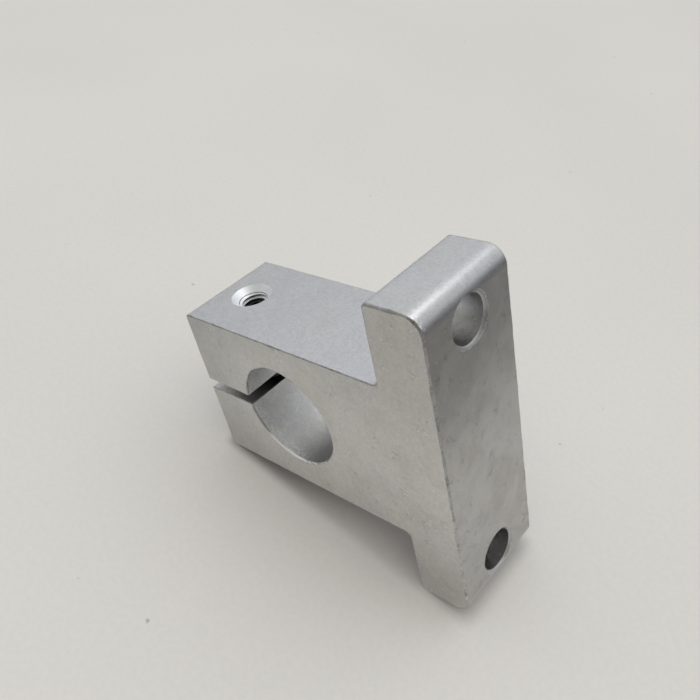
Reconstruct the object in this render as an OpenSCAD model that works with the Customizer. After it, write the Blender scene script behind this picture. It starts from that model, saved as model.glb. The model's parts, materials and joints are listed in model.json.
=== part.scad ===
// Shaft support block: a T-shaped clamp that carries the end of a round shaft
// above a mounting plate. The block is one piece of extruded aluminium, sawn
// to length and machined. Two bolts hold its foot down, and a cap screw across
// the slit draws the two ears of the stem together on the shaft.
//
// Frame: X runs across the foot, Y along the shaft, Z up. The origin is the
// middle of the mounting face. Lengths are in millimetres.

/* [Shaft] */
// Diameter of the shaft, and of the bore that clamps it
shaft_d = 16; // [12:0.5:20]
// Height of the shaft's axis above the mounting face
shaft_h = 27; // [22:0.5:40]

/* [Block] */
// Length of the block along the shaft
block_l = 16; // [14:0.5:30]
// Wall of the stem at each side of the bore
side_wall = 4.5; // [4:0.25:6]
// Thickness of the foot
foot_t = 8; // [5:0.5:10]
// Metal between the counterbore and the top of the stem
top_wall = 1.75; // [1:0.25:6]

/* [Base bolts] */
// Distance between the axes of the two base bolts
bolt_pitch = 38; // [37:0.5:60]
// Diameter of the base bolts' holes
bolt_hole_d = 5.5; // [4:0.1:6]
// Distance from a bolt's axis to the end of the foot
bolt_end = 5; // [5:0.25:10]
// Chamfer of the bolt holes at the mounting face
bolt_chamfer = 0.7; // [0.2:0.1:1]

/* [Clamp screw] */
// Thread diameter of the clamp screw
screw_d = 4; // [3:0.5:5]
// Length of the clamp screw under its head
screw_l = 16; // [12:1:18]
// Diameter of the screw's head
head_d = 7; // [6:0.25:8.5]
// Height of the screw's head
head_h = 4; // [3:0.25:5]
// Width across the flats of the hexagon socket
socket_af = 3; // [2.5:0.5:4]
// Depth of the hexagon socket
socket_depth = 2; // [1.2:0.1:2.5]

/* [Clamp cuts] */
// Width of the slit between the ears
slit_w = 1.6; // [1:0.1:2.5]
// Metal between the bore and the clamp screw's hole
screw_wall = 1; // [0.8:0.1:4]
// Radial gap round the screw's shank in the ear that it passes through
shank_gap = 0.25; // [0.1:0.05:0.5]
// Radial gap round the screw's thread in the tapped ear
thread_gap = 0.05; // [0.02:0.01:0.1]
// Radial gap round the head in its counterbore
head_gap = 0.5; // [0.2:0.05:0.75]
// How far the head lies below the side of the stem
head_recess = 0.5; // [0.2:0.1:2]
// Diameter of the countersink at the mouth of the tapped hole
countersink_d = 6; // [5.5:0.1:7]
// Depth of the countersink
countersink_depth = 0.7; // [0.3:0.1:1.5]

/* [Edges] */
// Radius of the foot's lower corners
foot_low_r = 2.5; // [0.5:0.25:3]
// Radius of the foot's upper corners
foot_top_r = 0.8; // [0.3:0.1:2]
// Radius of the stem's upper corners
stem_top_r = 0.6; // [0.3:0.1:1]
// Radius of the fillets between foot and stem
root_r = 1; // [0.5:0.25:2]
// Chamfer at the bore's mouths and at the bolt holes' upper mouths
rim_break = 0.2; // [0.1:0.05:0.4]
// Chamfer round the top of the screw's head
head_break = 0.4; // [0.2:0.1:0.6]
// Chamfer at the tip of the screw
tip_break = 0.5; // [0.3:0.1:0.7]

/* [Hidden] */
$fn = 96;
// Overlap of a cutter past the face that it opens
cut = 1;

bore_r = shaft_d / 2;
stem_w = shaft_d + 2 * side_wall;
foot_w = bolt_pitch + 2 * bolt_end;
shank_r = screw_d / 2 + shank_gap;
tapped_r = screw_d / 2 + thread_gap;
counterbore_r = head_d / 2 + head_gap;
counterbore_depth = head_h + head_recess;
screw_z = shaft_h + bore_r + screw_wall + shank_r;
block_h = screw_z + counterbore_r + top_wall;
// The head bears on the floor of its counterbore
seat_x = counterbore_depth - stem_w / 2;

// Corner of a square outside a round of radius r, with its point at the origin
// and the round towards +X and +Y. It rounds an outer corner when it is cut
// away, and fills an inner one when it is added.
module corner_web(r) {
    difference() {
        translate([-cut, -cut]) square(r + cut);
        translate([r, r]) circle(r);
    }
}

// Outline of the extrusion, in X and Z
module t_outline() {
    difference() {
        union() {
            translate([-foot_w / 2, 0]) square([foot_w, foot_t]);
            translate([-stem_w / 2, 0]) square([stem_w, block_h]);
            for (side = [0, 1]) mirror([side, 0])
                translate([stem_w / 2, foot_t]) corner_web(root_r);
        }
        for (side = [0, 1]) mirror([side, 0]) {
            translate([-foot_w / 2, 0]) corner_web(foot_low_r);
            translate([-foot_w / 2, foot_t]) mirror([0, 1]) corner_web(foot_top_r);
            translate([-stem_w / 2, block_h]) mirror([0, 1]) corner_web(stem_top_r);
        }
    }
}

// Cutter that chamfers the mouth of a hole of radius r, with the mouth at z = 0
// and the hole above it
module mouth_chamfer(r, chamfer) {
    translate([0, 0, -cut]) cylinder(r1 = r + chamfer + cut, r2 = r, h = chamfer + cut);
}

// Cutter for a through hole from z = 0 to z = depth, chamfered at both mouths
module drilled_hole(r, depth, low_chamfer, high_chamfer) {
    translate([0, 0, -cut]) cylinder(r = r, h = depth + 2 * cut);
    mouth_chamfer(r, low_chamfer);
    translate([0, 0, depth]) mirror([0, 0, 1]) mouth_chamfer(r, high_chamfer);
}

// Turns what is built along +Z to lie along +X, at the height of the screw
module along_screw(x) {
    translate([x, 0, screw_z]) rotate([0, 90, 0]) children();
}

module shaft_bore() {
    translate([0, block_l / 2, shaft_h]) rotate([90, 0, 0])
        drilled_hole(bore_r, block_l, rim_break, rim_break);
}

module slit() {
    translate([-slit_w / 2, -block_l / 2 - cut, shaft_h])
        cube([slit_w, block_l + 2 * cut, block_h - shaft_h + cut]);
}

module base_bolt_holes() {
    for (side = [-1, 1]) translate([side * bolt_pitch / 2, 0, 0])
        drilled_hole(bolt_hole_d / 2, foot_t, bolt_chamfer, rim_break);
}

// Counterbore and clearance hole in one ear, tapped hole with its countersink
// in the other
module clamp_screw_hole() {
    countersink_slope = (countersink_d / 2 - tapped_r) / countersink_depth;
    along_screw(-stem_w / 2 - cut) cylinder(r = counterbore_r, h = counterbore_depth + cut);
    along_screw(seat_x - cut) cylinder(r = shank_r, h = cut - seat_x);
    along_screw(0) cylinder(r = tapped_r, h = stem_w / 2 + cut);
    along_screw(stem_w / 2 - countersink_depth)
        cylinder(r1 = tapped_r, r2 = countersink_d / 2 + cut * countersink_slope,
                 h = countersink_depth + cut);
}

module block() {
    color("gainsboro") difference() {
        translate([0, block_l / 2, 0]) rotate([90, 0, 0])
            linear_extrude(height = block_l) t_outline();
        shaft_bore();
        slit();
        base_bolt_holes();
        clamp_screw_hole();
    }
}

// Socket head cap screw, with its head on the counterbore's floor
module clamp_screw() {
    socket_r = socket_af / 2 / cos(30);
    color("silver") along_screw(seat_x) difference() {
        union() {
            translate([0, 0, -head_h]) cylinder(r1 = head_d / 2 - head_break, r2 = head_d / 2, h = head_break);
            translate([0, 0, head_break - head_h]) cylinder(d = head_d, h = head_h - head_break);
            cylinder(d = screw_d, h = screw_l - tip_break);
            translate([0, 0, screw_l - tip_break])
                cylinder(r1 = screw_d / 2, r2 = screw_d / 2 - tip_break, h = tip_break);
        }
        translate([0, 0, -head_h - cut]) cylinder(r = socket_r, h = socket_depth + cut, $fn = 6);
        // Conical end that the drill leaves under the hexagon
        translate([0, 0, socket_depth - head_h])
            cylinder(r1 = socket_af / 2, r2 = 0, h = socket_af / 2 * tan(30));
    }
}

block();
clamp_screw();
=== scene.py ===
"""Looks of a shaft support block: a T-shaped aluminium clamp and its cap screw, on a pale table top."""

import json
import math

import bmesh
import bpy
from bpy.props import FloatProperty, FloatVectorProperty, IntProperty, PointerProperty
from mathutils import Matrix, Vector, noise


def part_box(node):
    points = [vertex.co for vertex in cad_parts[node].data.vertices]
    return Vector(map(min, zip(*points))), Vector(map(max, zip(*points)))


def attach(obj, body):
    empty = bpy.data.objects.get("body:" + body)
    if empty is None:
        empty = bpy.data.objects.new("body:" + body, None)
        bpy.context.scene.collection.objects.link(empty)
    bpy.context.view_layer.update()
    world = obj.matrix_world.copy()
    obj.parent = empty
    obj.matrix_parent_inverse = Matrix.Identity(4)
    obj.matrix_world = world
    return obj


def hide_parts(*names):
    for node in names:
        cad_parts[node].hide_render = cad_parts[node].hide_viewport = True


bl_info = {
    "name": "Shaft support block",
    "version": (1, 0, 0),
    "blender": (4, 5, 0),
    "location": "3D View > Sidebar > Shaft support",
    "description": "Builds a clamping shaft support, its cap screw and a table top to show it on",
    "category": "Object",
}

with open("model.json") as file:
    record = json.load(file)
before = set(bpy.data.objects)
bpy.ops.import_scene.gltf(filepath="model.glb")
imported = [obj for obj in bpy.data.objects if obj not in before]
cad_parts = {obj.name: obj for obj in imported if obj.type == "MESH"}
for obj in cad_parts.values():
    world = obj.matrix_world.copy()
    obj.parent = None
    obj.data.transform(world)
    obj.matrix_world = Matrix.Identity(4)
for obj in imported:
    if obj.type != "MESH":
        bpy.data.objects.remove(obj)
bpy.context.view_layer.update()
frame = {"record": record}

MM = 0.001
MOUNTS = {mount["name"]: mount for mount in frame["record"]["mounts"]}
BLOCK_LOW, BLOCK_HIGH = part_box("block")
SCREW_LOW, SCREW_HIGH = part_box("clamp_screw")

FOOT_WIDTH = BLOCK_HIGH.x - BLOCK_LOW.x
BLOCK_LENGTH = BLOCK_HIGH.y - BLOCK_LOW.y
BLOCK_HEIGHT = BLOCK_HIGH.z - BLOCK_LOW.z
BORE_HEIGHT = MOUNTS["shaft_bore"]["pos_m"][2]
BORE_RADIUS = MOUNTS["shaft_bore"]["dims"]["r_mm"] * MM
BOLT_PITCH = MOUNTS["base_bolts"]["dims"]["spacing_x_mm"] * MM
BOLT_HOLE_RADIUS = MOUNTS["base_bolts"]["dims"]["hole_r_mm"] * MM
SCREW_HEIGHT = (SCREW_LOW.z + SCREW_HIGH.z) / 2
HEAD_RADIUS = (SCREW_HIGH.z - SCREW_LOW.z) / 2

ROUND_STEPS = 96
THREAD_STEPS = 64
ARC_STEP = math.radians(9)
SMOOTH_UNDER = math.radians(35)
LARGE_FACE_CORNERS = 12
OVER = 1 * MM  # how far a cutter reaches past what it cuts
HAIR = 0.01 * MM

# Surfaces of the block, which are its material slots
SIDE, END, FOOT, BORE, HOLE, SLIT, CUT, EDGE = range(8)

NOISE_SPAN = (0.3, 0.7)  # where nearly all of a noise texture lies
BRIGHT_SIDE = (0.0, 0.91, 0.42)  # where the room is brightest, for what the metal mirrors
KEY_FROM = Vector((0.9, 0.35, -0.2))


def length(name, description, millimetres):
    """Property for a length, whose default is given in millimetres."""
    return FloatProperty(name=name, description=description, default=millimetres * MM,
                         precision=5, unit="LENGTH")


def angle(name, description, degrees):
    """Property for an angle, whose default is given in degrees."""
    return FloatProperty(name=name, description=description, default=math.radians(degrees),
                         subtype="ANGLE")


def number(name, description, value):
    """Property for a plain number, a power or a share."""
    return FloatProperty(name=name, description=description, default=value)


def colour(name, description, value):
    """Property for the colour of a finish."""
    return FloatVectorProperty(name=name, description=description, default=value, min=0.0, max=1.0,
                               size=3, subtype="COLOR")


class ShaftSupportBlockSizes(bpy.types.PropertyGroup):
    """Sizes of the block that the frame doesn't give"""

    foot_thickness: length("Foot thickness", "Thickness of the foot", 8)
    stem_width: length("Stem width", "Width of the stem across the bore", 25)
    slit_width: length("Slit width", "Width of the slit between the ears", 1.6)
    foot_low_radius: length("Lower foot radius", "Radius of the foot's lower corners", 2.5)
    foot_top_radius: length("Upper foot radius", "Radius of the foot's upper corners", 0.8)
    stem_top_radius: length("Stem radius", "Radius of the stem's upper corners", 0.6)
    root_radius: length("Root radius", "Radius of the fillets between foot and stem", 1)
    ear_radius: length("Ear radius", "Radius along the edges of the slit", 0.15)
    bolt_chamfer: length("Bolt chamfer", "Chamfer of the bolt holes at the mounting face", 0.7)
    rim_chamfer: length("Rim chamfer", "Chamfer at the bolt holes' upper mouths", 0.2)
    edge_break: length("Edge break", "Mean rounding of the sawn edges", 0.14)
    foot_edge_break: length("Foot edge break", "Mean rounding of the sawn edges at the foot's ends", 0.42)
    bore_break: length("Bore edge break", "Mean rounding of the bore's edges", 0.24)
    edge_point_gap: length("Edge point gap", "Distance between points along a sawn edge", 0.5)


class ShaftSupportScrewSizes(bpy.types.PropertyGroup):
    """Sizes of the cap screw and of the holes that take it"""

    screw_radius: length("Screw radius", "Outer radius of the screw's thread", 2)
    head_height: length("Head height", "Height of the screw's head", 4)
    head_recess: length("Head recess", "Depth of the head below the stem's side", 0.5)
    head_gap: length("Head gap", "Radial gap round the head", 0.5)
    shank_gap: length("Shank gap", "Radial gap round the shank in the plain ear", 0.25)
    thread_gap: length("Thread gap", "Radial gap round the thread in the tapped ear", 0.05)
    thread_pitch: length("Thread pitch", "Pitch of the thread", 0.7)
    thread_depth: length("Thread depth", "Depth of the thread", 0.4)
    countersink_radius: length("Countersink radius", "Radius of the tapped hole's countersink", 3)
    countersink_depth: length("Countersink depth", "Depth of the tapped hole's countersink", 0.9)
    socket_flats: length("Socket flats", "Width across the flats of the socket", 3)
    socket_depth: length("Socket depth", "Depth of the socket", 2)
    knurl_ribs: IntProperty(name="Knurl ribs", description="Ribs round the screw's head",
                            default=40, min=12)


class ShaftSupportFinish(bpy.types.PropertyGroup):
    """Colours of the finishes"""

    side: colour("Side", "Blasted and anodised sides", (0.635, 0.635, 0.65))
    end: colour("End", "Sawn ends", (0.71, 0.7, 0.68))
    foot: colour("Foot", "Mounting face", (0.53, 0.525, 0.515))
    bore: colour("Bore", "Walls of the bore, the slit and the holes", (0.88, 0.88, 0.88))
    cut: colour("Cut", "Metal cut after the finish was put on", (0.9, 0.92, 0.95))
    wear: colour("Wear", "Dark marks and burrs", (0.2, 0.195, 0.185))
    screw: colour("Screw", "Zinc plated steel", (0.62, 0.62, 0.6))
    table: colour("Table", "Table top", (0.625, 0.61, 0.585))


class ShaftSupportStage(bpy.types.PropertyGroup):
    """Camera, lights and table top"""

    azimuth: angle("Azimuth", "Angle of the camera round the object", 46.18)
    elevation: angle("Elevation", "Angle of the camera above the mounting face", -38.24)
    roll: angle("Roll", "Turn of the camera from the table's upright", 3.52)
    distance: length("Distance", "Distance from the camera to the object", 104.7)
    aim_side: length("Aim side", "How far the camera aims to the right of the object's middle", -0.3)
    aim_up: length("Aim up", "How far the camera aims above the object's middle", 6.3)
    lens: number("Lens", "Focal length in millimetres", 38.47)
    key_power: number("Key power", "Power of the soft key light, in watts", 0.11)
    key_size: length("Key size", "Width of the soft key light", 100)
    key_distance: length("Key distance", "Distance from the soft key light to the object", 300)
    key_tint: colour("Key tint", "Colour of the key light", (1.0, 0.98, 0.95))
    horizon_light: number("Horizon light", "Strength of the room's light near the table", 0.36)
    sky_full: number("Sky full", "Height, as a sine, at which the room is brightest", 0.42)
    sky_light: number("Sky light", "Strength of the room's light above", 0.86)
    near_dimming: number("Near dimming", "How much darker the room is in front of the object", 0.7)
    table_light: number("Table light", "Strength of the light that the table gets from above", 2.2)
    table_dimming: number("Table dimming", "How much less of it comes from in front", 0.28)
    lamp_low: number("Lamp low", "Height, as a sine, at which that light begins", 0.35)
    lamp_high: number("Lamp high", "Height, as a sine, at which it is full", 0.95)
    lamp_rest: number("Lamp rest", "Strength of that light near the table", 0.03)
    under_light: number("Under light", "Share of the room's light that reaches the side on the table", 0.28)
    under_mirrored: number("Under mirrored", "The same share, for what the metal mirrors", 0.75)
    # The contact shade is a painted shadow on the table
    contact_shade: number("Contact shade", "How much darker the table is under the object", 0.5)
    front_tint: colour("Front tint", "Colour of the room in front of the object", (1.0, 0.975, 0.93))
    sky_tint: colour("Sky tint", "Colour of the room above", (0.965, 0.985, 1.0))
    background: colour("Background", "Colour behind the table top", (0.64, 0.63, 0.605))
    table_clear: length("Table clear", "Radius of the table top that shows fully", 420)
    table_end: length("Table end", "Radius at which the table top has faded away", 600)


# ------------------------------------------------------------------ meshes


def finished_with(mesh, slots, surfaces):
    """Gives a mesh the materials as its slots, and each face its surface's slot."""
    mesh.materials.clear()
    for material in slots:
        mesh.materials.append(material)
    for polygon, surface in zip(mesh.polygons, surfaces):
        polygon.material_index = surface


def mesh_from(name, vertices, faces, surfaces, slots):
    """Mesh object with the material slots, each face on its surface's slot."""
    mesh = bpy.data.meshes.new(name)
    mesh.from_pydata(vertices, [], faces)
    finished_with(mesh, slots, surfaces)
    mesh.update()
    made = bpy.data.objects.new(name, mesh)
    bpy.context.scene.collection.objects.link(made)
    return made


def evaluated(obj):
    """Replaces an object's mesh by what its modifiers make of it, and drops them."""
    graph = bpy.context.evaluated_depsgraph_get()
    mesh = bpy.data.meshes.new_from_object(obj.evaluated_get(graph), depsgraph=graph)
    obj.modifiers.clear()
    obj.data = mesh


def combined(obj, tool, operation):
    """Cuts tool out of obj, or adds it, and removes tool."""
    modifier = obj.modifiers.new("Boolean", "BOOLEAN")
    modifier.operation = operation
    modifier.solver = "EXACT"
    modifier.material_mode = "INDEX"
    modifier.object = tool
    bpy.context.view_layer.update()
    evaluated(obj)
    bpy.data.objects.remove(tool)
    return obj


def shaded(obj):
    """Smooth shading within each surface, but not over sharp bends or round large flat faces."""
    mesh = obj.data
    mesh.shade_smooth()
    mesh.set_sharp_from_angle(angle=SMOOTH_UNDER)
    beside = {}
    for polygon in mesh.polygons:
        for key in polygon.edge_keys:
            beside.setdefault(key, []).append(polygon)
    for edge in mesh.edges:
        faces = beside[edge.key]
        two_surfaces = len({face.material_index for face in faces}) > 1
        if two_surfaces or any(len(face.vertices) > LARGE_FACE_CORNERS for face in faces):
            edge.use_edge_sharp = True


def lathe(name, outline, slots, segments=ROUND_STEPS, radius_at=None):
    """Closed solid of revolution about Z. outline holds (radius, z, surface of the wall above), and
    radius_at gives another radius for a radius, a height and an angle."""
    vertices, faces, surfaces = [], [], []
    for radius, z, _ in outline:
        for i in range(segments):
            turn = math.tau * i / segments
            r = radius_at(radius, z, turn) if radius_at else radius
            vertices.append((r * math.cos(turn), r * math.sin(turn), z))
    for ring, (_, _, surface) in enumerate(outline[:-1]):
        for i in range(segments):
            a = ring * segments + i
            b = ring * segments + (i + 1) % segments
            faces.append((a, b, b + segments, a + segments))
            surfaces.append(surface)
    faces.append(tuple(reversed(range(segments))))
    surfaces.append(outline[0][2])
    faces.append(tuple(range(len(vertices) - segments, len(vertices))))
    surfaces.append(outline[-1][2])
    return mesh_from(name, vertices, faces, surfaces, slots)


def facing_out(obj):
    """Turns all the faces of a closed mesh outwards."""
    mesh = bmesh.new()
    mesh.from_mesh(obj.data)
    bmesh.ops.recalc_face_normals(mesh, faces=mesh.faces)
    mesh.to_mesh(obj.data)
    mesh.free()
    return obj


def placed(obj, matrix):
    """Puts a place and turn into an object's mesh."""
    obj.data.transform(matrix)
    obj.data.update()
    return obj


def along_screw(x):
    """Turns what is built along +Z to lie along +X at the height of the screw."""
    return Matrix.Translation((x, 0, SCREW_HEIGHT)) @ Matrix.Rotation(math.radians(90), 4, "Y")


# ------------------------------------------------------------------ nodes


def node(tree, kind, **settings):
    """Adds a node and sets its properties."""
    made = tree.nodes.new(kind)
    for name, value in settings.items():
        setattr(made, name, value)
    return made


def feed(tree, socket, value):
    """Links a socket to an input, or sets the input to a number or colour."""
    if isinstance(value, bpy.types.NodeSocket):
        tree.links.new(value, socket)
    else:
        socket.default_value = value


def fed(tree, kind, inputs, **settings):
    """Adds a node, sets its properties and feeds its inputs by name; gives its outputs."""
    made = node(tree, kind, **settings)
    for name, value in inputs.items():
        feed(tree, made.inputs[name], value)
    return made.outputs


def maths(tree, operation, *values):
    """Math node of one or two numbers or sockets."""
    return fed(tree, "ShaderNodeMath", dict(enumerate(values)), operation=operation)[0]


def times(tree, *values):
    """Product of numbers and sockets."""
    product = values[0]
    for value in values[1:]:
        product = maths(tree, "MULTIPLY", product, value)
    return product


def plus(tree, first, second):
    """Sum of two values."""
    return maths(tree, "ADD", first, second)


def less(tree, first, second):
    """First value minus the second."""
    return maths(tree, "SUBTRACT", first, second)


def rest(tree, share):
    """What a share leaves of 1."""
    return less(tree, 1.0, share)


def lowered(tree, value, mask, amount):
    """Multiplies a value by 1 minus an amount where a mask is 1."""
    return times(tree, value, rest(tree, times(tree, mask, amount)))


def vectors(tree, operation, first, second=None):
    """Vector Math node; second is a number for SCALE. Gives its value or its vector."""
    made = node(tree, "ShaderNodeVectorMath", operation=operation)
    feed(tree, made.inputs[0], first)
    if second is not None:
        feed(tree, made.inputs["Scale" if operation == "SCALE" else 1], second)
    return made.outputs["Value" if operation in ("DOT_PRODUCT", "LENGTH") else "Vector"]


def step_between(tree, value, low, high, start=0.0, end=1.0):
    """Smooth rise from start to end as value goes from low to high."""
    return fed(tree, "ShaderNodeMapRange", {"Value": value, "From Min": low, "From Max": high,
                                            "To Min": start, "To Max": end},
               interpolation_type="SMOOTHSTEP")["Result"]


def colour_mix(tree, factor, first, second, blend="MIX"):
    """Mix Color node; colours are sockets or three numbers."""
    made = node(tree, "ShaderNodeMix", data_type="RGBA", blend_type=blend)
    feed(tree, made.inputs["Factor"], factor)
    for name, value in (("A", first), ("B", second)):
        socket = next(s for s in made.inputs if s.name == name and s.type == "RGBA")
        feed(tree, socket, value if isinstance(value, bpy.types.NodeSocket) else (*value, 1))
    return next(s for s in made.outputs if s.type == "RGBA")


def noise_of(tree, vector, scale, detail=2.0, roughness=0.5, distortion=0.0):
    """Value of a noise texture, from 0 to 1."""
    return fed(tree, "ShaderNodeTexNoise", {"Vector": vector, "Scale": scale, "Detail": detail,
                                            "Roughness": roughness, "Distortion": distortion})["Fac"]


def split(tree, vector):
    """The X, Y and Z of a vector."""
    return fed(tree, "ShaderNodeSeparateXYZ", {"Vector": vector})


def group(name, inputs, outputs):
    """Empty node group with its sockets; gives its tree, its inputs and its output sockets."""
    tree = bpy.data.node_groups.new(name, "ShaderNodeTree")
    tree.interface.new_socket("Vector", in_out="INPUT", socket_type="NodeSocketVector")
    for title, kind, value in inputs:
        socket = tree.interface.new_socket(title, in_out="INPUT", socket_type="NodeSocket" + kind)
        socket.default_value = value
    for title in outputs:
        tree.interface.new_socket(title, in_out="OUTPUT", socket_type="NodeSocketFloat")
    return tree, node(tree, "NodeGroupInput").outputs, node(tree, "NodeGroupOutput").inputs


def use(tree, name, **values):
    """Puts a node group into a material and feeds its inputs; gives its outputs."""
    values = {title.replace("_", " "): value for title, value in values.items()}
    return fed(tree, "ShaderNodeGroup", values, node_tree=bpy.data.node_groups[name])


# ------------------------------------------------------------------ the thread


def thread_tree():
    """Geometry Nodes tree of a helical ridge, wide outside and narrow inside, as a thread's groove is."""
    tree = bpy.data.node_groups.new("Thread ridge", "GeometryNodeTree")
    identifiers = {}
    for name, kind in (("Geometry", "Geometry"), ("Radius", "Float"), ("Pitch", "Float"), ("Turns", "Float"),
                       ("Steps per turn", "Int"), ("Depth", "Float"), ("Outer width", "Float"),
                       ("Inner width", "Float"), ("Material", "Material")):
        socket = tree.interface.new_socket(name, in_out="INPUT", socket_type="NodeSocket" + kind)
        identifiers[name] = socket.identifier
    tree.interface.new_socket("Geometry", in_out="OUTPUT", socket_type="NodeSocketGeometry")
    given = node(tree, "NodeGroupInput").outputs
    helix = fed(tree, "GeometryNodeCurveSpiral", {
        "Resolution": given["Steps per turn"], "Rotations": given["Turns"], "Start Radius": given["Radius"],
        "End Radius": given["Radius"], "Height": times(tree, given["Pitch"], given["Turns"])})
    upright = fed(tree, "GeometryNodeSetCurveNormal", {"Curve": helix["Curve"]}, mode="Z_UP")
    profile = fed(tree, "GeometryNodeCurvePrimitiveQuadrilateral", {
        "Height": given["Depth"], "Bottom Width": given["Outer width"], "Top Width": given["Inner width"],
        "Offset": 0.0}, mode="TRAPEZOID")
    turned = fed(tree, "GeometryNodeTransform", {
        "Geometry": profile["Curve"], "Rotation": (0, 0, math.radians(-90))})
    sweep = fed(tree, "GeometryNodeCurveToMesh", {
        "Curve": upright["Curve"], "Profile Curve": turned["Geometry"], "Fill Caps": True})
    realized = fed(tree, "GeometryNodeRealizeInstances", {"Geometry": sweep["Mesh"]})
    finished = fed(tree, "GeometryNodeSetMaterial", {
        "Geometry": realized["Geometry"], "Material": given["Material"]})
    fed(tree, "NodeGroupOutput", {"Geometry": finished["Geometry"]})
    return tree, identifiers


def grooved(rod, radius, start, end, sizes, surface, slots, land=0.05):
    """Cuts the thread's groove into a rod along +Z, from z = start to z = end. land is the share of the
    pitch that it leaves of the rod's wall."""
    tree, identifiers = thread_tree()
    ridge = mesh_from(rod.name + "_ridge", [], [], [], slots)
    modifier = ridge.modifiers.new("Thread", "NODES")
    modifier.node_group = tree
    proud = 0.05 * MM
    root_share = 0.15
    depth = sizes.thread_depth + proud
    pitch = sizes.thread_pitch
    for name, value in (("Radius", radius + proud - depth / 2), ("Pitch", pitch),
                        ("Turns", (end - start) / pitch), ("Steps per turn", THREAD_STEPS),
                        ("Depth", depth), ("Outer width", (1 - land) * pitch),
                        ("Inner width", root_share * pitch), ("Material", slots[surface])):
        modifier[identifiers[name]] = value
    bpy.context.view_layer.update()
    evaluated(ridge)
    bpy.data.node_groups.remove(tree)
    finished_with(ridge.data, slots, [surface] * len(ridge.data.polygons))
    placed(ridge, Matrix.Translation((0, 0, start)))
    return combined(rod, ridge, "DIFFERENCE")


# ------------------------------------------------------------------ the block


def rounded(corners):
    """Points of a closed outline in X and Z, each with the surface that follows it and its room for a
    rounded edge. corners holds (x, z, radius, surface of the round, surface of the line that follows)."""
    points = []
    room, room_share = 1 * MM, 0.7
    for i, (x, z, radius, round_surface, line_surface) in enumerate(corners):
        here = Vector((x, z))
        if radius == 0:
            points.append((here, line_surface, room))
            continue
        back = (Vector(corners[i - 1][:2]) - here).normalized()
        ahead = (Vector(corners[(i + 1) % len(corners)][:2]) - here).normalized()
        half = back.angle(ahead) / 2
        centre = here + (back + ahead).normalized() * radius / math.sin(half)
        first = here + back * radius / math.tan(half) - centre
        last = here + ahead * radius / math.tan(half) - centre
        start = math.atan2(first.y, first.x)
        sweep = (math.atan2(last.y, last.x) - start + math.pi) % math.tau - math.pi
        steps = max(4, round(abs(sweep) / ARC_STEP))
        for step in range(steps + 1):
            turn = start + sweep * step / steps
            surface = line_surface if step == steps else round_surface
            at = centre + radius * Vector((math.cos(turn), math.sin(turn)))
            points.append((at, surface, room_share * radius))
    return points


def divided(points, gap):
    """Adds points along the longer lines of a closed outline."""
    made = []
    for i, (here, surface, room) in enumerate(points):
        ahead, _, next_room = points[(i + 1) % len(points)]
        made.append((here, surface, room))
        parts = math.ceil((ahead - here).length / gap)
        for part in range(1, parts):
            made.append((here.lerp(ahead, part / parts), surface, max(room, next_room)))
    return made


def t_outline(sizes):
    """The extrusion's outline with the slit and the bore, which make one loop of it."""
    half_foot, half_stem, half_slit = FOOT_WIDTH / 2, sizes.stem_width / 2, sizes.slit_width / 2
    opening = math.asin(half_slit / BORE_RADIUS)
    mouth = BORE_HEIGHT + BORE_RADIUS * math.cos(opening)
    right = [
        (half_foot, 0, sizes.foot_low_radius, SIDE, SIDE),
        (half_foot, sizes.foot_thickness, sizes.foot_top_radius, SIDE, SIDE),
        (half_stem, sizes.foot_thickness, sizes.root_radius, SIDE, SIDE),
        (half_stem, BLOCK_HEIGHT, sizes.stem_top_radius, SIDE, SIDE),
        (half_slit, BLOCK_HEIGHT, sizes.ear_radius, SIDE, SLIT),
        (half_slit, mouth, sizes.ear_radius, SLIT, BORE),
    ]
    arc = []
    for step in range(1, ROUND_STEPS):
        turn = opening + (math.tau - 2 * opening) * step / ROUND_STEPS
        x, z = BORE_RADIUS * math.sin(turn), BORE_HEIGHT + BORE_RADIUS * math.cos(turn)
        arc.append((x, z, 0, BORE, BORE))
    line_before = [FOOT] + [corner[4] for corner in right]
    left = [(-x, z, radius, round_surface, line_surface)
            for (x, z, radius, round_surface, _), line_surface in zip(right, line_before)]
    return divided(rounded(right + arc + left[::-1]), sizes.edge_point_gap)


def edge_rounding(sizes, point, y, room):
    """Radius of the sawn edge's rounding at a point of it: uneven, larger at the foot's ends, and with a
    nick here and there."""
    place = Vector((point.x, y, point.y)) / MM
    broad, fine, nicks = place * 0.4, place * 1.3, place * 0.9 + Vector((31, 0, 0))
    waves = 0.5 * noise.noise(broad) + 0.12 * noise.noise(fine)
    least_nick, end_zone, end_rise = 0.35, 4 * MM, 3 * MM
    nick = max(0.0, noise.noise(nicks) - least_nick)
    on_foot = point.y < 0.5 * MM
    near_end = min(1.0, max(0.0, (abs(point.x) - (FOOT_WIDTH / 2 - end_zone)) / end_rise))
    worn = max(0.45 * near_end, 0.4 * on_foot)
    mean = sizes.edge_break + (sizes.foot_edge_break - sizes.edge_break) * worn
    if (point - Vector((0, BORE_HEIGHT))).length < BORE_RADIUS + HAIR:
        mean = sizes.bore_break
    nick_share = 1.2 if on_foot else 0.4
    return min(room, mean * (1 + waves + nick_share * nick))


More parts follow.
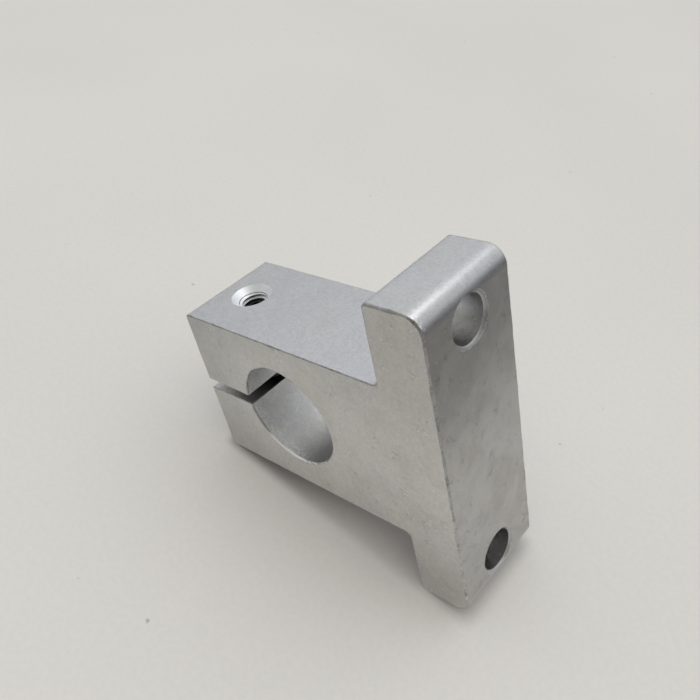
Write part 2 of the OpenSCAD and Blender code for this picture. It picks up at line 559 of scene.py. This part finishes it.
def extruded_block(sizes, slots):
    """The sawn length of extrusion with its bore and slit, and with uneven rounded edges at both ends."""
    outline = t_outline(sizes)
    count = len(outline)
    inward = []
    for i in range(count):
        along = (outline[(i + 1) % count][0] - outline[i - 1][0]).normalized()
        inward.append(Vector((-along.y, along.x)))
    turns = [math.radians(a) for a in (0, 30, 60, 90)]
    vertices, faces, surfaces = [], [], []
    for y_end, order in ((-BLOCK_LENGTH / 2, turns), (BLOCK_LENGTH / 2, turns[::-1])):
        for turn in order:
            for (point, _, room), normal in zip(outline, inward):
                radius = edge_rounding(sizes, point, y_end, room)
                at = point + normal * radius * (1 - math.sin(turn))
                depth = radius * (1 - math.cos(turn))
                vertices.append((at.x, y_end - math.copysign(depth, y_end), at.y))
    rings = 2 * len(turns)
    for ring in range(rings - 1):
        for i in range(count):
            a = ring * count + i
            b = ring * count + (i + 1) % count
            faces.append((a, b, b + count, a + count))
            surfaces.append(outline[i][1] if ring == len(turns) - 1 else EDGE)
    faces.append(tuple(reversed(range(count))))
    faces.append(tuple(range((rings - 1) * count, rings * count)))
    surfaces += [END, END]
    block = mesh_from("support_block", vertices, faces, surfaces, slots)
    return facing_out(block)


def bolt_hole_tool(sizes, slots):
    """Cutter of one bolt hole, along Z: a worn chamfer that is steeper inside than outside."""
    chamfer, rim, top = sizes.bolt_chamfer, sizes.rim_chamfer, sizes.foot_thickness
    outline = [(chamfer + 4 * OVER, -OVER, FOOT), (1.1 * chamfer, 0, EDGE),
               (0.9 * chamfer, 0.1 * chamfer, SIDE), (0.4 * chamfer, 0.5 * chamfer, HOLE),
               (0, 0.6 * top, HOLE), (0, top - rim, SIDE), (rim + OVER, top + OVER, SIDE)]
    outline = [(BOLT_HOLE_RADIUS + wider, z, surface) for wider, z, surface in outline]
    return lathe("bolt_hole", outline, slots)


def plain_ear_tool(block, screw, slots):
    """Cutter of the counterbore and the clearance hole, along X."""
    counterbore = HEAD_RADIUS + screw.head_gap
    shank = screw.screw_radius + screw.shank_gap
    seat = screw.head_height + screw.head_recess
    rim = 0.15 * MM
    tool = lathe("plain_ear", [
        (counterbore + rim + OVER, -OVER, BORE),
        (counterbore, rim, BORE),
        (counterbore, seat, BORE),
        (shank, seat, BORE),
        (shank, block.stem_width / 2, BORE)], slots)
    return placed(tool, along_screw(-block.stem_width / 2))


def tapped_ear_tools(block, screw, slots):
    """Cutters of the tapped hole: plain past the screw's tip, then threaded, then countersunk with a dark
    ring at the cone's foot, which takes the slit wall's finish and with it painted shade."""
    radius = screw.screw_radius + screw.thread_gap
    face = block.stem_width / 2
    past_tip, lap, crest_gap, pitch = 0.3 * MM, 0.1 * MM, 0.02 * MM, screw.thread_pitch
    start = SCREW_HIGH.x + past_tip
    run = face + OVER - start
    clear_run = lathe("clear_run", [(radius, 0, CUT), (radius, start + lap, CUT)], slots)
    crest = radius + crest_gap
    # The thread's crests take the slit wall's finish, with its painted shade
    threaded = lathe("threaded_run", [(crest, 0, SLIT), (crest, run, SLIT)], slots)
    grooved(threaded, radius, -pitch, run + pitch, screw, CUT, slots, land=0.22)
    sink = screw.countersink_depth
    slope = (screw.countersink_radius - radius) / sink
    # A dark ring at the cone's foot: painted shade, in the slit wall's finish
    ring = [(radius + out * MM, (out * MM) / slope - sink - down * MM, surface)
            for out, down, surface in ((-0.01, 0.0, SLIT), (0.03, 0.06, SLIT), (0.06, 0.0, CUT))]
    cone = lathe("countersink", [
        (radius - screw.thread_depth, -sink - screw.thread_depth / slope, CUT), *ring,
        (screw.countersink_radius + slope * OVER, OVER, CUT)], slots)
    return (placed(clear_run, along_screw(0)), placed(threaded, along_screw(start)),
            placed(cone, along_screw(face)))


class SHAFT_SUPPORT_OT_block(bpy.types.Operator):
    """Builds the block with its holes, its thread and its worn edges"""

    bl_idname = "shaft_support.block"
    bl_label = "Build block"

    def execute(self, context):
        block, screw = context.scene.support_block_sizes, context.scene.support_screw_sizes
        slots = block_materials(context.scene.support_finish)
        made = extruded_block(block, slots)
        for side in (-1, 1):
            hole = placed(bolt_hole_tool(block, slots), Matrix.Translation((side * BOLT_PITCH / 2, 0, 0)))
            combined(made, hole, "DIFFERENCE")
        combined(made, plain_ear_tool(block, screw, slots), "DIFFERENCE")
        for tool in tapped_ear_tools(block, screw, slots):
            combined(made, tool, "DIFFERENCE")
        shaded(made)
        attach(made, "block")
        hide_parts("block")
        return {"FINISHED"}


# ------------------------------------------------------------------ the screw


def knurl(radius, ribs, low, high):
    """Function that gives a lathe's radius with ribs between two heights."""
    rib_depth = 0.12 * MM

    def radius_at(r, z, turn):
        ribbed = low < z < high and abs(r - radius) < HAIR
        return r - rib_depth * abs(math.sin(ribs * turn / 2)) if ribbed else r

    return radius_at


def screw_head(sizes, slots):
    """The head along +Z, with its seat at z = 0."""
    head, rim, flat, step, lip = sizes.head_height, 0.4 * MM, 0.3 * MM, 0.1 * MM, 0.15 * MM
    turns = [math.radians(15 * step) for step in range(7)]
    outline = [(HEAD_RADIUS - rim * (1 - math.sin(turn)), -head + rim * (1 - math.cos(turn)), 0)
               for turn in turns]
    outline += [(HEAD_RADIUS, -head + rim + step, 0), (HEAD_RADIUS, -flat - step, 0),
                (HEAD_RADIUS, -flat, 0), (HEAD_RADIUS - lip, 0, 0)]
    ribs = knurl(HEAD_RADIUS, sizes.knurl_ribs, -head + rim + step / 2, -flat - step / 2)
    return lathe("cap_screw", outline, slots, segments=6 * sizes.knurl_ribs, radius_at=ribs)


def screw_rod(sizes, slots):
    """The threaded shank along +Z, from inside the head to its tip."""
    shank, tip, radius = SCREW_HIGH.x - (SCREW_LOW.x + sizes.head_height), 0.5 * MM, sizes.screw_radius
    rod = lathe("shank", [(radius, -OVER, 0), (radius, shank - tip, 0), (radius - tip, shank, 0)], slots)
    return grooved(rod, radius, sizes.thread_pitch, shank + sizes.thread_pitch, sizes, 0, slots)


def socket_tools(sizes, slots):
    """Cutters of the socket: the hexagon, the drill's point below it and the lead at its mouth."""
    corner = sizes.socket_flats / 2 / math.cos(math.radians(30))
    depth, lead, gap = sizes.socket_depth, 0.25 * MM, 0.02 * MM
    drill, point, point_depth = sizes.socket_flats / 2 - gap, 0.05 * MM, 0.8 * MM
    below = [(drill, depth - OVER, 0), (drill, depth, 0), (point, depth + point_depth, 0)]
    return (lathe("socket", [(corner, -OVER, 0), (corner, depth, 0)], slots, segments=6),
            lathe("drill_point", below, slots),
            lathe("socket_mouth", [(corner + OVER, -OVER, 0), (corner - lead, lead, 0)], slots))


def cap_screw(sizes, slots):
    """The cap screw in its place, built along +Z with its seat at z = 0 and its head below."""
    screw = screw_head(sizes, slots)
    combined(screw, screw_rod(sizes, slots), "UNION")
    for tool in socket_tools(sizes, slots):
        combined(screw, placed(tool, Matrix.Translation((0, 0, -sizes.head_height))), "DIFFERENCE")
    return placed(screw, along_screw(SCREW_LOW.x + sizes.head_height))


class SHAFT_SUPPORT_OT_screw(bpy.types.Operator):
    """Builds the clamp screw with its knurled head, socket and thread"""

    bl_idname = "shaft_support.screw"
    bl_label = "Build clamp screw"

    def execute(self, context):
        made = cap_screw(context.scene.support_screw_sizes, [screw_material(context.scene.support_finish)])
        shaded(made)
        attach(made, "clamp_screw")
        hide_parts("clamp_screw")
        return {"FINISHED"}


# ------------------------------------------------------------------ shared effects


def grain_group():
    """Fine blasted grain, with glints and the uneven tone of an anodised surface."""
    tree, given, out = group("Blasted grain", [], ["Tone", "Glint", "Height"])
    place = given["Vector"]
    broad = noise_of(tree, place, 1.1, detail=3, roughness=0.55)
    middle = noise_of(tree, place, 2.3, detail=2, roughness=0.5)
    fine = noise_of(tree, place, 5.0, detail=4, roughness=0.62)
    sharp = noise_of(tree, place, 11.0, detail=1)
    coarse = plus(tree, times(tree, broad, 0.2), times(tree, middle, 0.3))
    feed(tree, out["Tone"], plus(tree, coarse, times(tree, fine, 0.5)))
    feed(tree, out["Glint"], step_between(tree, sharp, 0.62, 0.78))
    feed(tree, out["Height"], fine)


def mottle_group():
    """Broad stains: how warm and how dark the metal is here."""
    tree, given, out = group("Mottle", [], ["Warmth", "Shade"])
    warm = noise_of(tree, given["Vector"], 0.11, detail=4, roughness=0.6, distortion=0.4)
    shade = noise_of(tree, given["Vector"], 0.23, detail=5, roughness=0.6, distortion=0.6)
    feed(tree, out["Warmth"], step_between(tree, warm, 0.35, 0.65))
    feed(tree, out["Shade"], step_between(tree, shade, 0.35, 0.7))


def line_group():
    """Broken thin lines along the direction in which Stretch is small: saw marks and scuffs."""
    tree, given, out = group("Lines", [("Stretch", "Vector", (1, 1, 1)), ("Turn", "Vector", (0, 0, 0)),
                                       ("Thinness", "Float", 0.06), ("Cover", "Float", 0.5)], ["Line"])
    turned = fed(tree, "ShaderNodeVectorRotate", {"Vector": given["Vector"], "Rotation": given["Turn"]},
                 rotation_type="EULER_XYZ")
    streak = noise_of(tree, vectors(tree, "MULTIPLY", turned["Vector"], given["Stretch"]), 1.0, roughness=0.6)
    off = maths(tree, "ABSOLUTE", less(tree, streak, 0.5))
    line = step_between(tree, off, 0.0, given["Thinness"], 1.0, 0.0)
    bare = rest(tree, given["Cover"])
    broken = noise_of(tree, given["Vector"], 0.55, detail=3)
    shown = step_between(tree, broken, bare, plus(tree, bare, 0.12))
    feed(tree, out["Line"], times(tree, line, shown))


def pit_group():
    """Small pits and specks, scattered with a share of the cells empty."""
    tree, given, out = group("Pits", [("Density", "Float", 0.8), ("Share", "Float", 0.2),
                                      ("Size", "Float", 0.12)], ["Mask", "Pick"])
    place = given["Vector"]
    shift = fed(tree, "ShaderNodeTexNoise", {"Vector": place, "Scale": 3.0})["Color"]
    warped = vectors(tree, "ADD", place, vectors(tree, "SCALE", shift, 0.5))
    cells = fed(tree, "ShaderNodeTexVoronoi", {"Vector": warped, "Scale": given["Density"]})
    chance = fed(tree, "ShaderNodeSeparateColor", {"Color": cells["Color"]})
    size = times(tree, given["Size"], plus(tree, chance["Green"], 0.35))
    inside = step_between(tree, cells["Distance"], times(tree, size, 0.4), size, 1.0, 0.0)
    patch = noise_of(tree, place, 0.16)
    share = times(tree, given["Share"], step_between(tree, patch, 0.42, 0.62, 0.15, 2.5))
    picked = maths(tree, "LESS_THAN", chance["Red"], share)
    feed(tree, out["Mask"], times(tree, inside, picked))
    feed(tree, out["Pick"], chance["Blue"])


def wear_group():
    """Rubbed band beside the sawn edges and the bore's rims, by the distance to them in millimetres."""
    sizes = bpy.context.scene.support_block_sizes
    tree, given, out = group("Edge wear", [("Width", "Float", 0.5), ("Patches", "Float", 1.3)], ["Mask"])
    place = split(tree, given["Vector"])
    x = maths(tree, "ABSOLUTE", place["X"])
    y = maths(tree, "ABSOLUTE", place["Y"])
    z = place["Z"]
    stem, foot = (
        maths(tree, "MINIMUM", less(tree, width / 2 / MM, x), less(tree, height / MM, z))
        for width, height in ((sizes.stem_width, BLOCK_HEIGHT), (FOOT_WIDTH, sizes.foot_thickness)))
    rim = maths(tree, "MINIMUM", maths(tree, "MAXIMUM", stem, foot), z)
    from_axis = vectors(tree, "SUBTRACT", given["Vector"], (0, 0, BORE_HEIGHT / MM))
    across = vectors(tree, "LENGTH", vectors(tree, "MULTIPLY", from_axis, (1, 0, 1)))
    outline = maths(tree, "ABSOLUTE", maths(tree, "MINIMUM", rim, less(tree, across, BORE_RADIUS / MM)))
    sawn = maths(tree, "ABSOLUTE", less(tree, BLOCK_LENGTH / MM / 2, y))
    far = maths(tree, "MAXIMUM", outline, sawn)
    uneven = noise_of(tree, given["Vector"], given["Patches"], detail=4, roughness=0.6)
    reach = times(tree, given["Width"], step_between(tree, uneven, 0.42, 0.75, 0.0, 2.0))
    feed(tree, out["Mask"], step_between(tree, far, times(tree, reach, 0.3), reach, 1.0, 0.0))


def build_groups():
    """Makes the shared node groups, once."""
    if "Blasted grain" not in bpy.data.node_groups:
        for make in (grain_group, mottle_group, line_group, pit_group, wear_group):
            make()


# ------------------------------------------------------------------ finishes


def surface(name):
    """New material, its tree, its Principled BSDF and the place on the object in millimetres."""
    material = bpy.data.materials.new(name)
    material.use_nodes = True
    tree = material.node_tree
    place = vectors(tree, "SCALE", fed(tree, "ShaderNodeTexCoord", {})["Object"], 1 / MM)
    return material, tree, tree.nodes["Principled BSDF"], place


def spans_of(tree, place, spans):
    """Value of each span (axis, from, to, value there, value there), which holds on past its ends."""
    return [step_between(tree, place[axis], *span) for axis, *span in spans]


def with_painted_shading(tree, light, place, painted_shading):
    """Paints light and shade: multiplies light by each tone that changes over the object, a tuple of spans,
    which is the first span's tone where the others are 0, and no change where one of them is 1."""
    for spans in painted_shading:
        lost = times(tree, *(rest(tree, kept) for kept in spans_of(tree, place, spans)))
        light = times(tree, light, rest(tree, lost))
    return light


def metal(name, base, wear, *, roughness=0.45, tone=0.12, glint=0.1, mottle=0.1, bump=0.012, marks=(),
          pits=None, rub=(0.3, 0.3, 1.3), painted_shading=(), painted_highlights=(), cooling=None):
    """Metal with grain, mottling, marks, pits, rubbed edges, painted light and shade, and painted highlights.

    marks holds (stretch, turn, thinness, cover, shade, bump) for each set of lines, pits (share, size,
    strength), rub (width, amount, patches) for the rubbed edges and cooling the span that keeps the warm
    stains. The tones that change over the object, each a tuple of spans, are painted light and shade, and
    the spans whose product is the strength of bright grains place painted highlights."""
    material, tree, shader, place = surface(name)
    axes = split(tree, place)
    grain = use(tree, "Blasted grain", Vector=place)
    broad = use(tree, "Mottle", Vector=place)
    light = step_between(tree, grain["Tone"], *NOISE_SPAN, 1 - tone, 1 + tone)
    light = lowered(tree, light, broad["Shade"], mottle)
    light = plus(tree, light, times(tree, grain["Glint"], glint))
    height = grain["Height"]
    for stretch, turn, thinness, cover, shade, depth in marks:
        drawn = use(tree, "Lines", Vector=place, Stretch=stretch, Turn=turn, Thinness=thinness, Cover=cover)
        light = lowered(tree, light, drawn["Line"], shade)
        height = less(tree, height, times(tree, drawn["Line"], depth))
    # Painted light and shade: tones that change by place on the object
    light = with_painted_shading(tree, light, axes, painted_shading)
    # Painted highlights: bright grains, with a little relief, in the given places
    if painted_highlights:
        grains = step_between(tree, noise_of(tree, place, 4.0, detail=1), 0.54, 0.62)
        painted_highlight = times(tree, grains, *spans_of(tree, axes, painted_highlights))
        light = plus(tree, light, painted_highlight)
        height = plus(tree, height, painted_highlight)
    warm = times(tree, broad["Warmth"], *spans_of(tree, axes, cooling or ()))
    stained = colour_mix(tree, warm, (0.99, 1.0, 1.012), (1.006, 1.0, 0.983))
    toned = vectors(tree, "SCALE", colour_mix(tree, 1.0, base, stained, "MULTIPLY"), light)
    if pits:
        share, size, strength = pits
        pit = use(tree, "Pits", Vector=place, Share=share, Size=size)
        toned = colour_mix(tree, times(tree, pit["Mask"], strength), toned, wear)
        height = less(tree, height, times(tree, pit["Mask"], 1.5))
    width, amount, patches = rub
    rubbed = times(tree, use(tree, "Edge wear", Vector=place, Width=width, Patches=patches)["Mask"], amount)
    feed(tree, shader.inputs["Base Color"], colour_mix(tree, rubbed, toned, wear))
    feed(tree, shader.inputs["Metallic"], 1.0)
    feed(tree, shader.inputs["Roughness"], step_between(
        tree, grain["Tone"], *NOISE_SPAN, roughness - 0.05, roughness + 0.07))
    relief = fed(tree, "ShaderNodeBump", {"Strength": 1.0, "Distance": bump * MM, "Height": height})
    feed(tree, shader.inputs["Normal"], relief["Normal"])
    return material


def block_materials(finish):
    """The block's materials, in the order of its surfaces. Places in the marks, in the painted light and
    shade and in the painted highlights are in millimetres."""
    build_groups()
    side, end, foot, bore, cut, wear = (
        tuple(getattr(finish, name)) for name in ("side", "end", "foot", "bore", "cut", "wear"))
    # A broken edge is a dull mix of the sawn end and bare metal, and the holes' walls are darker than the
    # bore's, painted shade of the deep holes
    edge = tuple(0.85 * (0.8 * a + 0.2 * b) for a, b in zip(end, cut))
    hole = tuple(0.72 * channel for channel in bore)
    deg = math.radians
    swirls = ((1.5, 1.5, 1.5), (0.3, 0.7, 0), 0.1, 0.44, 0.22, 0.3)
    pale_swirls = ((1.3, 1.3, 1.3), (1.3, 0.2, 0.9), 0.09, 0.44, -0.14, -0.2)
    nicks = ((1.7, 1.0, 1.7), (0.2, 0.1, 0), 0.12, 0.56, 0.36, 0.7)
    scuffs = (((0.9, 0.28, 0.9), (0, 0, deg(15)), 0.1, 0.44, 0.13, 0.5),
              ((0.22, 1.1, 1.1), (0, 0, deg(25)), 0.08, 0.46, 0.12, 0.5),
              ((1.0, 0.6, 1.0), (0.3, 0, deg(-40)), 0.08, 0.45, 0.1, 0.4))
    reaming = ((0.25, 9, 0.25), (0, 0, 0), 0.05, 0.6, 0.12, 0.3)
    drilling = ((0.5, 0.5, 5), (0, 0, 0), 0.08, 0.5, 0.2, 0.4)
    sawing = ((8, 0.4, 8), (0, 0, 0), 0.05, 0.6, 0.3, 0.6)
    no_rub = (0.1, 0.0, 1.0)
    return [
        # Side: painted shade on the fillets and chamfers near the mounting face, darkest at the +X end, and a
        # painted highlight of bright grains at the front end of the +X fillet
        metal("Blasted side", side, wear, roughness=0.36, tone=0.13, glint=0.2, mottle=0.04,
              rub=(0.22, 0.5, 1.0),
              painted_shading=((("Z", 0.0, 1.2, 0.8, 1.0),),
                     (("Z", 0.0, 0.5, 0.5, 1.0), ("X", 5, 20, 1.0, 0.0)),
                     (("Z", 1.4, 3.4, 0.9, 1.0), ("X", 20, 22, 1.0, 0.0))),
              painted_highlights=(("Y", -8, -6.8, 0.9, 0.0), ("X", 22, 22.8, 0.0, 1.0), ("Z", 0.9, 1.6, 1.0, 0.0))),
        # Sawn end: painted shade, darker towards both ends of the foot and towards the top of the stem
        metal("Sawn end", end, wear, roughness=0.46, tone=0.13, glint=0.08, mottle=0.08,
              marks=(swirls, pale_swirls), pits=(0.1, 0.11, 0.55), rub=(0.3, 0.3, 0.9),
              painted_shading=((("X", -22, -4, 0.8, 1.0),), (("X", -2, 22, 1.0, 0.79),), (("Z", 31, 44, 1.0, 0.83),)),
              cooling=(("Z", 27, 34, 1.0, 0.0),)),
        # Mounting face: painted shade, darker towards its +X end, down to half
        metal("Mounting face", foot, wear, roughness=0.42, tone=0.08, glint=0.06, mottle=0.16,
              marks=(*scuffs, pale_swirls), pits=(0.06, 0.12, 0.5), rub=(0.5, 0.35, 0.8),
              painted_shading=((("X", -4, 20, 1.03, 0.5),),)),
        # Bore: painted shade in its lower part, and a painted highlight of bright grains near its front rim
        metal("Bored wall", bore, wear, roughness=0.42, tone=0.14, glint=0.2, mottle=0.06, bump=0.02,
              marks=(reaming,), rub=(0.3, 0.2, 1.3), painted_shading=((("Z", 24, 30, 0.5, 1.0),),),
              painted_highlights=(("Y", -8, -6.2, 1.5, 0.0), ("Z", 25.5, 28, 0.0, 1.0))),
        # Bolt holes: painted light and shade, the +X hole's wall brighter than the other's
        metal("Drilled wall", hole, wear, roughness=0.3, tone=0.05, glint=0.03, mottle=0.3, bump=0.005,
              marks=(drilling,), painted_shading=((("X", 0, 15, 1.0, 1.3),),)),
        # Slit: painted shade, dark in its middle away from both mouths and darker towards the bore
        metal("Slit wall", bore, wear, roughness=0.55, marks=(sawing,),
              painted_shading=((("Y", -7.8, -2, 1.0, 0.05), ("Y", 3, 8, 0.0, 0.8)), (("Z", 35.5, 42, 0.45, 0.9),))),
        # Bright cut: painted shade, nearly black inside the tapped hole beyond its countersink
        metal("Bright cut", cut, wear, roughness=0.52, tone=0.03, glint=0.03, mottle=0.02, bump=0.002,
              rub=no_rub, painted_shading=((("X", 9.9, 11.3, 0.02, 1.0),),)),
        # Broken edge: painted shade, darker towards +X, and a painted highlight on the bore's front rim: a
        # brighter band and bright grains
        metal("Broken edge", edge, wear, roughness=0.42, tone=0.1, bump=0.015,
              marks=(swirls, nicks), pits=(0.35, 0.3, 0.6), rub=(6.0, 0.25, 0.9),
              painted_shading=((("X", -14, 6, 1.0, 0.7),),
                     (("X", -6.4, -5.0, 2.6, 1.0), ("X", -8.8, -8.4, 1.0, 0.0), ("Z", 24, 27, 1.0, 0.0),
                      ("Y", -7.6, -7.2, 0.0, 1.0))),
              painted_highlights=(("X", -8.4, -8.0, 0.0, 2.0), ("X", -6.6, -5.2, 1.0, 0.0), ("Z", 20, 22, 0.0, 1.0),
                      ("Y", -8, -7.6, 1.0, 0.0))),
    ]


def screw_material(finish):
    """Zinc plated steel with faint dirt."""
    build_groups()
    return metal("Plated steel", tuple(finish.screw), tuple(finish.wear), roughness=0.3, tone=0.06,
                 glint=0.05, mottle=0.14, bump=0.005, pits=(0.1, 0.08, 0.5), rub=(0.1, 0.0, 1.0))


# ------------------------------------------------------------------ the stage


def table_axes(block):
    """Middle of the table top under the object, its direction up the slope and its normal."""
    run = FOOT_WIDTH / 2 - block.stem_width / 2
    rise = BLOCK_HEIGHT - block.foot_thickness
    tilt = math.atan2(run, rise)
    normal = Vector((math.cos(tilt), 0, -math.sin(tilt)))
    along = Vector((math.sin(tilt), 0, math.cos(tilt)))
    made = bpy.data.objects["support_block"]
    lowest = min(normal.dot(vertex.co) for vertex in made.data.vertices)
    middle = Vector((0, 0, BLOCK_HEIGHT / 2))
    middle += normal * (lowest - normal.dot(middle))
    return middle, along, normal


def table_colour(tree, place, far, finish):
    """Faint mottling and dust, which end at a distance."""
    near = step_between(tree, far, 140, 300, 1.0, 0.0)
    light = times(tree, *(step_between(tree, pattern, *NOISE_SPAN, 0.985, 1.015) for pattern in (
        noise_of(tree, place, 0.012, detail=3), noise_of(tree, place, 1.2, detail=4))))
    light = plus(tree, 1.0, times(tree, near, less(tree, light, 1.0)))
    toned = vectors(tree, "SCALE", tuple(finish.table), light)
    specks = use(tree, "Pits", Vector=place, Density=0.16, Share=0.5, Size=0.05)
    return colour_mix(tree, times(tree, specks["Mask"], 0.6, near), toned,
                      colour_mix(tree, specks["Pick"], (0.25, 0.22, 0.18), (0.85, 0.84, 0.8)))


def beneath_object(tree, x, y):
    """Mask of the table that the block covers, by the place along the slope and across it in millimetres."""
    along = times(tree, step_between(tree, x, -30, -27.5), step_between(tree, x, 17, 19, 1.0, 0.0))
    return times(tree, along, step_between(tree, maths(tree, "ABSOLUTE", y), 7.5, 9.5, 1.0, 0.0))


def table_material(finish, stage):
    """Pale matt table top that fades away far from the object. It has a painted shadow under the object,
    which only the camera sees, and lets some light through there, so that the side on the table isn't black."""
    material, tree, shader, place = surface("Table top")
    axes = split(tree, place)
    rays = fed(tree, "ShaderNodeLightPath", {})
    to_camera = rays["Is Camera Ray"]
    far = vectors(tree, "LENGTH", place)
    beneath = beneath_object(tree, axes["X"], axes["Y"])
    # Painted shadow under the object, for the camera only, stronger towards the stem's top
    shade = times(tree, step_between(tree, axes["X"], -10, 12, 0.35, 1.0), to_camera, stage.contact_shade)
    feed(tree, shader.inputs["Base Color"], vectors(
        tree, "SCALE", table_colour(tree, place, far, finish), lowered(tree, 1.0, beneath, shade)))
    feed(tree, shader.inputs["Roughness"], 0.75)
    feed(tree, shader.inputs["Specular IOR Level"], 0.2)
    mirrored = times(tree, rays["Is Glossy Ray"], maths(tree, "LESS_THAN", rays["Diffuse Depth"], 0.5))
    open_share = maths(tree, "MAXIMUM", stage.under_light, times(tree, mirrored, stage.under_mirrored))
    under = times(tree, beneath, rest(tree, to_camera), open_share)
    gone = step_between(tree, far, stage.table_clear / MM, stage.table_end / MM)
    back = fed(tree, "ShaderNodeNewGeometry", {})["Backfacing"]
    hidden = maths(tree, "MAXIMUM", maths(tree, "MAXIMUM", gone, back), under)
    clear = fed(tree, "ShaderNodeBsdfTransparent", {})["BSDF"]
    mixed = fed(tree, "ShaderNodeMixShader", {0: hidden, 1: shader.outputs["BSDF"], 2: clear})["Shader"]
    feed(tree, tree.nodes["Material Output"].inputs["Surface"], mixed)
    return material


def table_top(block, finish, stage):
    """Disc under the object, with its front side up."""
    middle, along, normal = table_axes(block)
    across = normal.cross(along)
    turns = [math.tau * i / ROUND_STEPS for i in range(ROUND_STEPS)]
    rim = [(stage.table_end * math.cos(turn), stage.table_end * math.sin(turn), 0) for turn in turns]
    table = mesh_from("table_top", rim, [tuple(range(ROUND_STEPS))], [0], [table_material(finish, stage)])
    turn = Matrix((along, across, normal)).transposed().to_4x4()
    table.matrix_world = Matrix.Translation(middle) @ turn


def surroundings(block, stage):
    """Soft pale room: plain to the camera and below the table's level, and above it brighter with height
    and behind the object. The light that matt surfaces pass on comes from overhead."""
    world = bpy.data.worlds.new("Room")
    world.use_nodes = True
    tree = world.node_tree
    way = fed(tree, "ShaderNodeTexCoord", {})["Generated"]
    up = vectors(tree, "DOT_PRODUCT", way, tuple(table_axes(block)[2]))
    aside = vectors(tree, "DOT_PRODUCT", way, BRIGHT_SIDE)
    high = times(tree, step_between(tree, aside, -0.8, 0.1, 1 - stage.near_dimming, 1.0), stage.sky_light)
    seen = step_between(tree, up, 0.0, stage.sky_full, stage.horizon_light, high)
    overhead = step_between(tree, up, stage.lamp_low, stage.lamp_high, stage.lamp_rest, stage.table_light)
    cast = times(tree, step_between(tree, aside, -0.8, 0.6, 1 - stage.table_dimming, 1.0), overhead)
    above = step_between(tree, up, -0.12, -0.03)
    rays = fed(tree, "ShaderNodeLightPath", {})
    matt = maths(tree, "GREATER_THAN", rays["Diffuse Depth"], 0.5)
    sky = plus(tree, times(tree, rest(tree, matt), seen), times(tree, matt, cast))
    strength = plus(tree, rest(tree, above), times(tree, above, sky))
    tint = colour_mix(tree, step_between(tree, aside, -0.6, 0.3), stage.front_tint, stage.sky_tint)
    tone = colour_mix(tree, above, stage.background, tint)
    to_camera = rays["Is Camera Ray"]
    strength = plus(tree, to_camera, times(tree, strength, rest(tree, to_camera)))
    room = tree.nodes["Background"]
    feed(tree, room.inputs["Color"], colour_mix(tree, to_camera, tone, stage.background))
    feed(tree, room.inputs["Strength"], strength)
    bpy.context.scene.world = world


def key_light(stage, centre):
    """Round area light that faces the object, and isn't seen by the camera."""
    data = bpy.data.lights.new("key", "AREA")
    data.shape = "DISK"
    data.size = stage.key_size
    data.energy = stage.key_power
    data.color = stage.key_tint
    light = bpy.data.objects.new("key", data)
    light.location = centre + KEY_FROM.normalized() * stage.key_distance
    light.rotation_euler = KEY_FROM.to_track_quat("Z", "Y").to_euler()
    light.visible_camera = False
    light.visible_diffuse = False
    bpy.context.scene.collection.objects.link(light)


def camera(stage, centre, normal):
    """Camera at its angles round the object, upright to the table but for its roll."""
    around, above = stage.azimuth, stage.elevation
    level_share = math.cos(above)
    back = Vector((math.sin(around) * level_share, -math.cos(around) * level_share, math.sin(above)))
    level = normal.cross(back).normalized()
    right = Matrix.Rotation(stage.roll, 3, back) @ level
    up = back.cross(right)
    data = bpy.data.cameras.new("camera")
    data.lens = stage.lens
    data.sensor_width = 36
    data.clip_start = 1 * MM
    data.clip_end = 5
    made = bpy.data.objects.new("camera", data)
    aim = centre + right * stage.aim_side + up * stage.aim_up
    turn = Matrix((right, up, back)).transposed().to_4x4()
    made.matrix_world = Matrix.Translation(aim + back * stage.distance) @ turn
    bpy.context.scene.collection.objects.link(made)
    bpy.context.scene.camera = made


class SHAFT_SUPPORT_OT_stage(bpy.types.Operator):
    """Sets up the table top, the light and the camera"""

    bl_idname = "shaft_support.stage"
    bl_label = "Set stage"

    def execute(self, context):
        scene = context.scene
        block, finish, stage = scene.support_block_sizes, scene.support_finish, scene.support_stage
        scene.view_settings.view_transform = "Standard"
        centre = Vector((0, 0, BLOCK_HEIGHT / 2))
        table_top(block, finish, stage)
        surroundings(block, stage)
        key_light(stage, centre)
        camera(stage, centre, table_axes(block)[2])
        return {"FINISHED"}


# ------------------------------------------------------------------ the add-on


class SHAFT_SUPPORT_PT_panel(bpy.types.Panel):
    """Lists the operators in the sidebar of the 3D view"""

    bl_idname = "SHAFT_SUPPORT_PT_panel"
    bl_label = "Shaft support"
    bl_space_type = "VIEW_3D"
    bl_region_type = "UI"
    bl_category = "Shaft support"

    def draw(self, context):
        for operator in (SHAFT_SUPPORT_OT_block, SHAFT_SUPPORT_OT_screw, SHAFT_SUPPORT_OT_stage):
            self.layout.operator(operator.bl_idname)


CLASSES = (ShaftSupportBlockSizes, ShaftSupportScrewSizes, ShaftSupportFinish, ShaftSupportStage,
           SHAFT_SUPPORT_OT_block, SHAFT_SUPPORT_OT_screw, SHAFT_SUPPORT_OT_stage, SHAFT_SUPPORT_PT_panel)
SETTINGS = {"support_block_sizes": ShaftSupportBlockSizes, "support_screw_sizes": ShaftSupportScrewSizes,
            "support_finish": ShaftSupportFinish, "support_stage": ShaftSupportStage}


def register():
    """Registers the classes and puts the settings on the scene."""
    for cls in CLASSES:
        bpy.utils.register_class(cls)
    for name, settings in SETTINGS.items():
        setattr(bpy.types.Scene, name, PointerProperty(type=settings))


def unregister():
    """Takes the settings off the scene and the classes out."""
    for name in SETTINGS:
        delattr(bpy.types.Scene, name)
    for cls in reversed(CLASSES):
        bpy.utils.unregister_class(cls)


def main():
    """Builds the pieces and the stage."""
    register()
    bpy.ops.shaft_support.block()
    bpy.ops.shaft_support.screw()
    bpy.ops.shaft_support.stage()
    bpy.context.view_layer.update()


if __name__ == "__main__":
    main()
